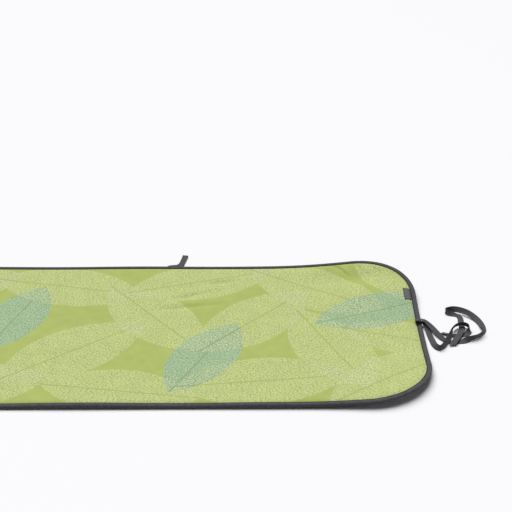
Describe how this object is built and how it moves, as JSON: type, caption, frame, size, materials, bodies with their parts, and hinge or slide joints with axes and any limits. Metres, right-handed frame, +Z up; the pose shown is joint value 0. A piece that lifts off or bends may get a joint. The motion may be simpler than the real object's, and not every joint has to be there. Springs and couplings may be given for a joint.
{
  "type": "ironing pad",
  "caption": "Flat padded table ironing pad with rounded corners, a folded tape edge, a tape tie for the roll, a hanging loop and a bare side label.",
  "frame": {"origin": "middle of the pad's underside, on the table", "axes": "+X along the pad towards the tie, +Y towards the hanging loop, +Z up out of the ironing face"},
  "size_m": [1.4284, 0.724, 0.0337],
  "materials": {
    "cover_cotton": "printed cotton, fine plain weave, matt",
    "foam": "open-cell foam sheet, matt",
    "felt": "needled polyester felt, matt",
    "backing_cloth": "heat-resistant woven backing, matt",
    "binding_tape": "folded twill tape, dark grey, matt",
    "seam_thread": "polyester sewing thread, slight sheen",
    "tie_tape": "woven tape, dark grey, matt",
    "woven_label": "woven damask label, bare, slight sheen"
  },
  "bodies": {
    "pad": {"top_cover": "cover_cotton", "foam_layer": "foam", "felt_layer": "felt", "backing_cloth": "backing_cloth", "edge_binding": "binding_tape", "seam_thread_top": "seam_thread", "seam_thread_under": "seam_thread", "loop_bartack_right": "seam_thread", "loop_bartack_left": "seam_thread"},
    "tie": {"tie_anchor": "tie_tape", "tie_bartack": "seam_thread", "tie_tail_lower": "tie_tape", "tie_tail_upper": "tie_tape"},
    "loop": {"hanging_loop": "tie_tape"},
    "label": {"side_label": "woven_label"}
  },
  "joints": [
    {"name": "tie_swing", "type": "hinge", "parent": "pad", "child": "tie", "pos_m": [0.6177, 0.031, 0.0096], "axis": [0, -1, 0], "range_deg": [0, 90]},
    {"name": "loop_swing", "type": "hinge", "parent": "pad", "child": "loop", "pos_m": [0.0015, 0.3259, 0.0047], "axis": [1, 0, 0], "range_deg": [0, 100]},
    {"name": "label_lift", "type": "hinge", "parent": "pad", "child": "label", "pos_m": [0.6212, 0.156, 0.01872], "axis": [0, 0.9909, 0.1346], "range_deg": [0, 90]}
  ]
}
